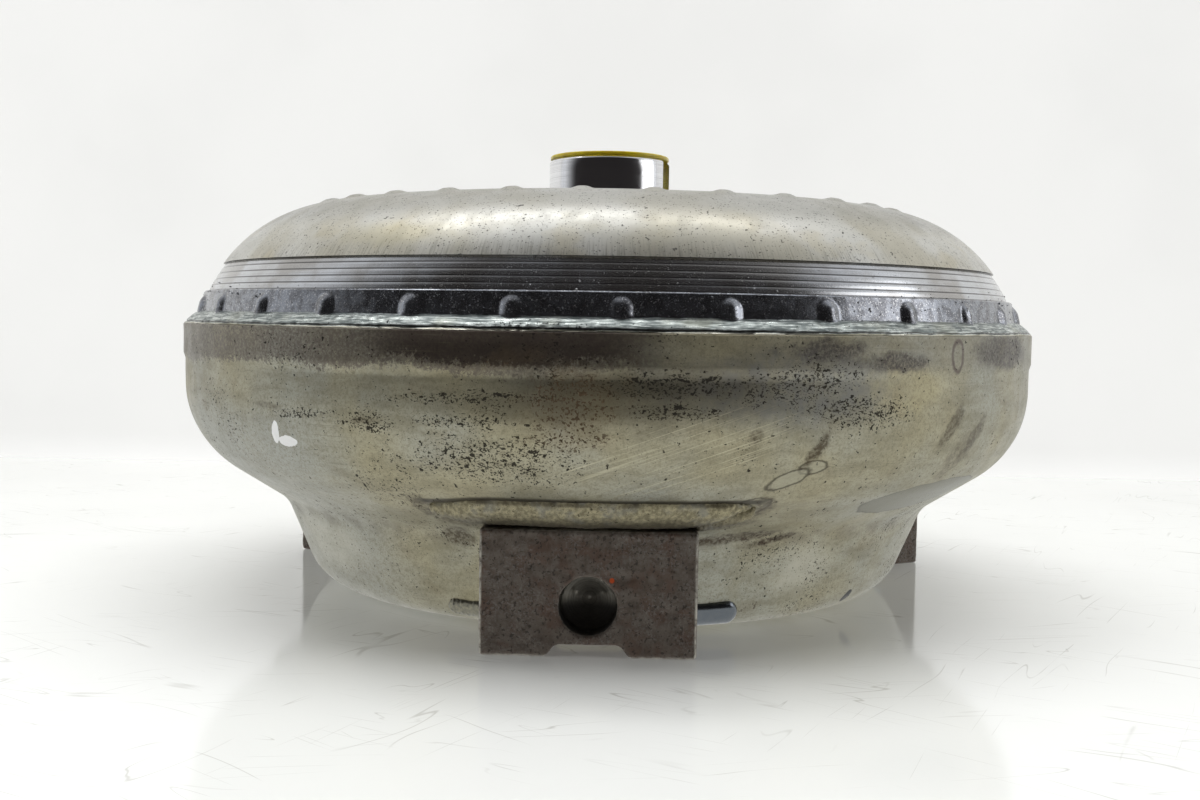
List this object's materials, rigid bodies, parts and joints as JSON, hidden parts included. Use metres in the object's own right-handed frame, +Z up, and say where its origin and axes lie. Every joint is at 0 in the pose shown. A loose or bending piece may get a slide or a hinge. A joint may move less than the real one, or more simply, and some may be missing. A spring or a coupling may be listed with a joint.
{
  "type": "fluid coupling",
  "caption": "Hydrodynamic fluid coupling (torque converter) with domed impeller shell, stepped front cover, drive lugs, slotted hub and a plug, with turbine, stator and lock-up clutch inside.",
  "frame": {"origin": "on the rotation axis, in the plane of the drive lugs' feet", "axes": "+Z up the rotation axis from the engine side to the transmission hub, -Y towards the front lug"},
  "size_m": [0.3, 0.3, 0.1543],
  "materials": {
    "cover_steel": "worn pressed steel with a khaki-grey oil film, rust specks and scratches",
    "shell_steel": "satin turned steel with dark specks, black unmachined band",
    "weld_steel": "rough bright weld metal, bluish grey",
    "bead_steel": "beige granular weld metal",
    "lug_steel": "dark brown-grey mill scale with worn bright edges",
    "hub_steel": "ground and polished steel",
    "machined_steel": "clean turned steel",
    "sheet_steel": "pressed sheet steel, oiled",
    "blade_steel": "thin pressed steel with brazed edges",
    "spring_steel": "blued spring steel",
    "bearing_steel": "hardened ground steel",
    "stator_aluminium": "die-cast aluminium",
    "bronze": "plain bearing bronze",
    "seal_rubber": "matt black sealing ring",
    "lining": "brown paper-based friction lining",
    "cage_plastic": "glass-filled nylon",
    "plug_plastic": "translucent yellow polythene"
  },
  "bodies": {
    "casing": {"front_cover": "cover_steel", "impeller_shell": "shell_steel", "rim_weld": "weld_steel", "impeller_hub": "hub_steel", "hub_weld": "weld_steel", "drive_lug_front": "lug_steel", "drive_lug_right": "lug_steel", "drive_lug_left": "lug_steel", "lug_welds_upper": "bead_steel", "lug_welds_lower": "bead_steel", "pilot_boss": "machined_steel", "impeller_blades": "blade_steel", "impeller_core_ring": "blade_steel", "impeller_bearing_washer": "bearing_steel", "clutch_outer_carrier": "sheet_steel", "piston_guide_ring": "machined_steel", "clutch_backing_plate": "machined_steel", "clutch_snap_ring": "spring_steel"},
    "piston": {"lockup_piston": "machined_steel", "piston_outer_seal": "seal_rubber", "piston_inner_seal": "seal_rubber"},
    "steel_lower": {"steel_plate_lower": "machined_steel"},
    "steel_upper": {"steel_plate_upper": "machined_steel"},
    "friction_lower": {"friction_plate_lower": "sheet_steel", "friction_linings_lower": "lining"},
    "friction_upper": {"friction_plate_upper": "sheet_steel", "friction_linings_upper": "lining"},
    "damper": {"clutch_inner_carrier": "sheet_steel", "damper_plate_lower": "sheet_steel", "damper_plate_upper": "sheet_steel", "damper_rivets": "machined_steel", "damper_springs": "spring_steel"},
    "turbine": {"damper_flange": "sheet_steel", "turbine_shell": "sheet_steel", "turbine_blades": "blade_steel", "turbine_core_ring": "blade_steel", "turbine_hub": "machined_steel", "turbine_rivets": "machined_steel", "turbine_bush": "bronze", "front_thrust_washer": "bronze", "turbine_bearing_washer": "bearing_steel"},
    "lower_cage": {"lower_bearing_cage": "cage_plastic", "lower_bearing_needles": "bearing_steel"},
    "stator": {"stator_wheel": "stator_aluminium", "stator_cap_lower": "stator_aluminium", "stator_cap_upper": "stator_aluminium", "stator_washer_lower": "bearing_steel", "stator_washer_upper": "bearing_steel", "freewheel_outer_race": "bearing_steel", "freewheel_rollers": "bearing_steel", "freewheel_springs": "spring_steel"},
    "inner_race": {"freewheel_inner_race": "bearing_steel"},
    "upper_cage": {"upper_bearing_cage": "cage_plastic", "upper_bearing_needles": "bearing_steel"},
    "plug": {"hub_plug": "plug_plastic"}
  },
  "joints": [
    {"name": "turbine_spin", "type": "hinge", "parent": "casing", "child": "turbine", "pos_m": [0, 0, 0.06], "axis": [0, 0, 1], "continuous": true},
    {"name": "damper_twist", "type": "hinge", "parent": "turbine", "child": "damper", "pos_m": [0, 0, 0.034], "axis": [0, 0, 1], "range_deg": [-5, 5], "stiffness_Nm_per_rad": 800, "deforming": ["damper_springs"]},
    {"name": "stator_spin", "type": "hinge", "parent": "casing", "child": "stator", "pos_m": [0, 0, 0.085], "axis": [0, 0, 1], "continuous": true},
    {"name": "freewheel", "type": "hinge", "parent": "stator", "child": "inner_race", "pos_m": [0, 0, 0.085], "axis": [0, 0, 1], "range_deg": [-360, 0]},
    {"name": "upper_cage_spin", "type": "hinge", "parent": "casing", "child": "upper_cage", "pos_m": [0, 0, 0.099], "axis": [0, 0, 1], "continuous": true},
    {"name": "lower_cage_spin", "type": "hinge", "parent": "turbine", "child": "lower_cage", "pos_m": [0, 0, 0.07], "axis": [0, 0, 1], "continuous": true},
    {"name": "piston_slide", "type": "slide", "parent": "casing", "child": "piston", "axis": [0, 0, 1], "range_m": [0, 0.0019]},
    {"name": "steel_lower_slide", "type": "slide", "parent": "casing", "child": "steel_lower", "axis": [0, 0, 1], "range_m": [0, 0.00153]},
    {"name": "friction_lower_slide", "type": "slide", "parent": "damper", "child": "friction_lower", "axis": [0, 0, 1], "range_m": [0, 0.00115]},
    {"name": "steel_upper_slide", "type": "slide", "parent": "casing", "child": "steel_upper", "axis": [0, 0, 1], "range_m": [0, 0.00077]},
    {"name": "friction_upper_slide", "type": "slide", "parent": "damper", "child": "friction_upper", "axis": [0, 0, 1], "range_m": [0, 0.00039]},
    {"name": "plug_pull", "type": "slide", "parent": "casing", "child": "plug", "axis": [0, 0, 1], "range_m": [0, 0.2]}
  ],
  "couplings": [
    {"joint": "upper_cage_spin", "follows": "stator_spin", "ratio": 0.5},
    {"joint": "lower_cage_spin", "follows": "turbine_spin", "ratio": -0.5},
    {"joint": "steel_lower_slide", "follows": "piston_slide", "ratio": 0.8},
    {"joint": "friction_lower_slide", "follows": "piston_slide", "ratio": 0.6},
    {"joint": "steel_upper_slide", "follows": "piston_slide", "ratio": 0.4},
    {"joint": "friction_upper_slide", "follows": "piston_slide", "ratio": 0.2}
  ]
}
